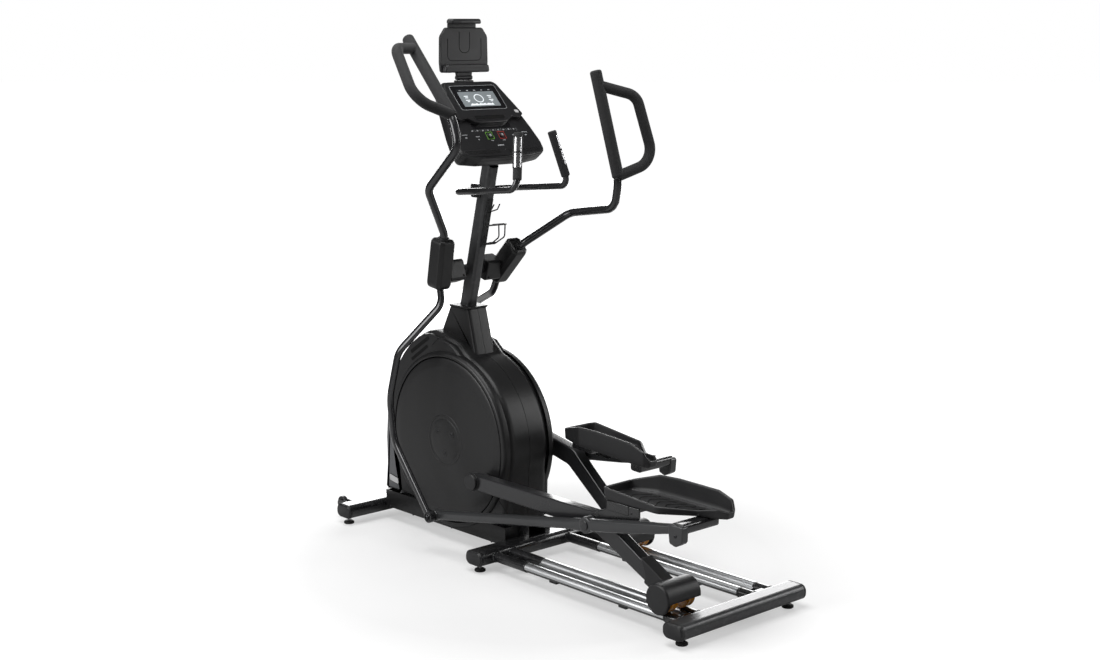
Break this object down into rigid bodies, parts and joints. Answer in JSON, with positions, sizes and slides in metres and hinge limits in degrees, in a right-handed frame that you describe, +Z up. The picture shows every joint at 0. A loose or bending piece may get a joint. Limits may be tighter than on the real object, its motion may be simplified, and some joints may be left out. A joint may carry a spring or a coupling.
{
  "type": "elliptical trainer",
  "caption": "Elliptical trainer with a front drive housing, side crank discs, rolling foot arms on twin rails, pedals, swinging handlebars, console and tablet holder.",
  "frame": {"origin": "on the floor, at the middle of the overall length and width", "axes": "+Z up, +X towards the rear where the user steps on, +Y to the user's right"},
  "size_m": [2.054, 0.9072, 2.07],
  "materials": {
    "frame_paint": "semi gloss black powder coat",
    "frame_grey": "dark grey metallic paint",
    "arm_paint": "black paint",
    "link_paint": "dark grey metallic paint",
    "handle_paint": "black metallic paint",
    "case_plastic": "fine grained black plastic",
    "disc_plastic": "satin black plastic",
    "panel_grey": "satin silver grey plastic",
    "console_plastic": "charcoal plastic",
    "screen": "display behind clear cover",
    "trim_plastic": "black plastic",
    "cap_plastic": "black plastic",
    "foot_rubber": "matte rubber",
    "foam": "closed cell foam grip",
    "alloy": "brushed",
    "chrome": "polished",
    "steel": "bright steel",
    "cast": "machined",
    "belt": "ribbed rubber",
    "magnet": "painted",
    "urethane": "amber urethane",
    "pedal_plastic": "grained plastic",
    "key_green": "satin",
    "key_red": "satin"
  },
  "bodies": {
    "frame": {"front_stabilizer": "frame_paint", "mid_stabilizer": "frame_paint", "rear_stabilizer": "frame_grey", "stabilizer_caps": "cap_plastic", "foot_studs": "steel", "foot_pads": "foot_rubber", "base_frame": "frame_paint", "rail_frame_left": "frame_paint", "rail_frame_right": "frame_paint", "rail_sleeves": "alloy", "mast": "frame_grey", "pivot_axle": "frame_grey", "side_case_left": "case_plastic", "side_case_right": "case_plastic", "front_panel": "panel_grey", "base_cover": "case_plastic", "fixed_handlebar": "handle_paint", "fixed_grips": "foam", "pulse_plates": "chrome", "console_back": "console_plastic", "console_face": "console_plastic", "console_screen": "screen", "bottle_holder": "trim_plastic", "drive_belt": "belt", "brake_magnet": "magnet"},
    "crank": {"crank_disc_left": "disc_plastic", "crank_disc_right": "disc_plastic", "hub_caps": "disc_plastic", "crank_axle": "steel", "drive_pulley": "cast"},
    "flywheel": {"flywheel": "cast"},
    "carriage_left": {"roller_axle_left": "steel"},
    "carriage_right": {"roller_axle_right": "steel"},
    "foot_arm_left": {"roller_cover_left": "cap_plastic", "main_arm_left": "arm_paint", "crank_pin_left": "cap_plastic"},
    "foot_arm_right": {"roller_cover_right": "cap_plastic", "main_arm_right": "arm_paint", "crank_pin_right": "cap_plastic"},
    "rollers_left": {"rollers_left": "urethane"},
    "rollers_right": {"rollers_right": "urethane"},
    "pedal_link_left": {"link_arm_left": "link_paint", "pedal_left": "pedal_plastic"},
    "pedal_link_right": {"link_arm_right": "link_paint", "pedal_right": "pedal_plastic"},
    "handlebar_left": {"lower_handle_left": "handle_paint", "upper_handle_left": "handle_paint", "grip_left": "foam", "pivot_cover_left": "case_plastic"},
    "handlebar_right": {"lower_handle_right": "handle_paint", "upper_handle_right": "handle_paint", "grip_right": "foam", "pivot_cover_right": "case_plastic"},
    "transport_wheel_left": {"transport_wheel_left": "cap_plastic"},
    "transport_wheel_right": {"transport_wheel_right": "cap_plastic"},
    "tablet_holder": {"tablet_holder": "trim_plastic"},
    "tablet_clip": {"tablet_clip": "trim_plastic"},
    "start_key": {"start_key": "key_green"},
    "stop_key": {"stop_key": "key_red"}
  },
  "joints": [
    {"name": "crank_spin", "type": "hinge", "parent": "frame", "child": "crank", "pos_m": [-0.448, 0, 0.419], "axis": [0, 1, 0], "continuous": true},
    {"name": "flywheel_spin", "type": "hinge", "parent": "frame", "child": "flywheel", "pos_m": [-0.718, 0, 0.419], "axis": [0, 1, 0], "continuous": true},
    {"name": "stride_left", "type": "slide", "parent": "frame", "child": "carriage_left", "axis": [1, 0, 0], "range_m": [-0.5828, 0.004]},
    {"name": "stride_right", "type": "slide", "parent": "frame", "child": "carriage_right", "axis": [1, 0, 0], "range_m": [-0.004, 0.5828]},
    {"name": "arm_pitch_left", "type": "hinge", "parent": "carriage_left", "child": "foot_arm_left", "pos_m": [0.85696, -0.188, 0.123], "axis": [0, 1, 0], "range_deg": [-0.1, 11.78]},
    {"name": "link_pivot_left", "type": "hinge", "parent": "foot_arm_left", "child": "pedal_link_left", "pos_m": [0.49856, -0.251, 0.30571], "axis": [0, 1, 0], "range_deg": [-8.87, 0.08]},
    {"name": "handlebar_swing_left", "type": "hinge", "parent": "frame", "child": "handlebar_left", "pos_m": [-0.448, -0.125, 1.094], "axis": [0, 1, 0], "range_deg": [-0.26, 34.22]},
    {"name": "roller_spin_left", "type": "hinge", "parent": "carriage_left", "child": "rollers_left", "pos_m": [0.85696, -0.188, 0.123], "axis": [0, 1, 0], "continuous": true},
    {"name": "transport_wheel_spin_left", "type": "hinge", "parent": "frame", "child": "transport_wheel_left", "pos_m": [-0.999, -0.246, 0.066], "axis": [0, 1, 0], "continuous": true},
    {"name": "arm_pitch_right", "type": "hinge", "parent": "carriage_right", "child": "foot_arm_right", "pos_m": [0.2742, 0.188, 0.123], "axis": [0, 1, 0], "range_deg": [-11.78, 0.1]},
    {"name": "link_pivot_right", "type": "hinge", "parent": "foot_arm_right", "child": "pedal_link_right", "pos_m": [-0.03945, 0.251, 0.3749], "axis": [0, 1, 0], "range_deg": [-0.08, 8.87]},
    {"name": "handlebar_swing_right", "type": "hinge", "parent": "frame", "child": "handlebar_right", "pos_m": [-0.448, 0.125, 1.094], "axis": [0, 1, 0], "range_deg": [-34.22, 0.26]},
    {"name": "roller_spin_right", "type": "hinge", "parent": "carriage_right", "child": "rollers_right", "pos_m": [0.2742, 0.188, 0.123], "axis": [0, 1, 0], "continuous": true},
    {"name": "transport_wheel_spin_right", "type": "hinge", "parent": "frame", "child": "transport_wheel_right", "pos_m": [-0.999, 0.246, 0.066], "axis": [0, 1, 0], "continuous": true},
    {"name": "tablet_tilt", "type": "hinge", "parent": "frame", "child": "tablet_holder", "pos_m": [-0.475, 0, 1.844], "axis": [0, 1, 0], "range_deg": [-20, 10]},
    {"name": "tablet_clip_slide", "type": "slide", "parent": "tablet_holder", "child": "tablet_clip", "axis": [0, 0, 1], "range_m": [0, 0.035], "stiffness_N_per_m": 120, "springref_m": -0.01},
    {"name": "start_key_press", "type": "slide", "parent": "frame", "child": "start_key", "axis": [-0.766, 0, -0.6428], "range_m": [0, 0.0015], "stiffness_N_per_m": 600},
    {"name": "stop_key_press", "type": "slide", "parent": "frame", "child": "stop_key", "axis": [-0.766, 0, -0.6428], "range_m": [0, 0.0015], "stiffness_N_per_m": 600}
  ],
  "couplings": [
    {"joint": "flywheel_spin", "follows": "crank_spin", "ratio": 5.4167},
    {"joint": "stride_right", "follows": "stride_left", "ratio": -1},
    {"joint": "arm_pitch_left", "follows": "stride_left", "rad_per_m": -0.3521},
    {"joint": "link_pivot_left", "follows": "stride_left", "rad_per_m": 0.26503},
    {"joint": "handlebar_swing_left", "follows": "stride_left", "rad_per_m": -1.0243},
    {"joint": "arm_pitch_right", "follows": "stride_left", "rad_per_m": 0.3521},
    {"joint": "link_pivot_right", "follows": "stride_left", "rad_per_m": -0.26503},
    {"joint": "handlebar_swing_right", "follows": "stride_left", "rad_per_m": 1.0243}
  ]
}
